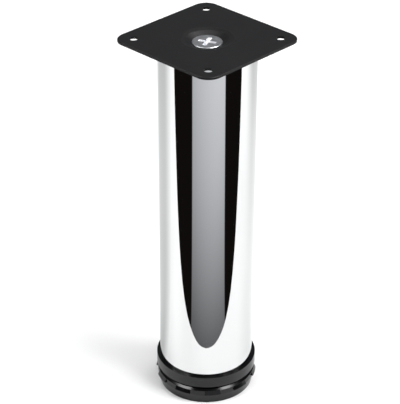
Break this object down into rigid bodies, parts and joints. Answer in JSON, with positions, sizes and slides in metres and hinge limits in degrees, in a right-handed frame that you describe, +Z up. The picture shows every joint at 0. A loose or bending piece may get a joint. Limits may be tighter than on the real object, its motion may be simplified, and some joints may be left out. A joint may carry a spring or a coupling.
{
  "type": "cabinet leg",
  "caption": "Round chrome cabinet leg with a square black screw-on mounting plate on top and a black adjustable levelling foot.",
  "frame": {"origin": "on the floor, under the centre of the foot", "axes": "+Z up along the tube; X and Y along the sides of the square mounting plate"},
  "size_m": [0.08, 0.08, 0.244],
  "materials": {
    "powder_coated_steel": "fine-textured satin black powder coat",
    "zinc_plated_steel": "bright zinc plate",
    "chrome_plated_steel": "polished chrome plate",
    "black_plastic": "moulded black nylon, satin"
  },
  "bodies": {
    "leg": {"mounting_plate": "powder_coated_steel", "centre_screw": "zinc_plated_steel", "top_plug": "black_plastic", "top_nut": "zinc_plated_steel", "tube": "chrome_plated_steel", "bottom_insert": "black_plastic", "insert_nut": "zinc_plated_steel"},
    "stud": {"foot_stud": "zinc_plated_steel"},
    "foot": {"foot_base": "black_plastic"}
  },
  "joints": [
    {"name": "foot_height", "type": "slide", "parent": "leg", "child": "stud", "axis": [0, 0, -1], "range_m": [0, 0.015]},
    {"name": "foot_turn", "type": "hinge", "parent": "stud", "child": "foot", "pos_m": [0, 0, 0], "axis": [0, 0, -1], "range_deg": [0, 3600]}
  ],
  "couplings": [
    {"joint": "foot_height", "follows": "foot_turn", "m_per_rad": 0.00023873}
  ]
}
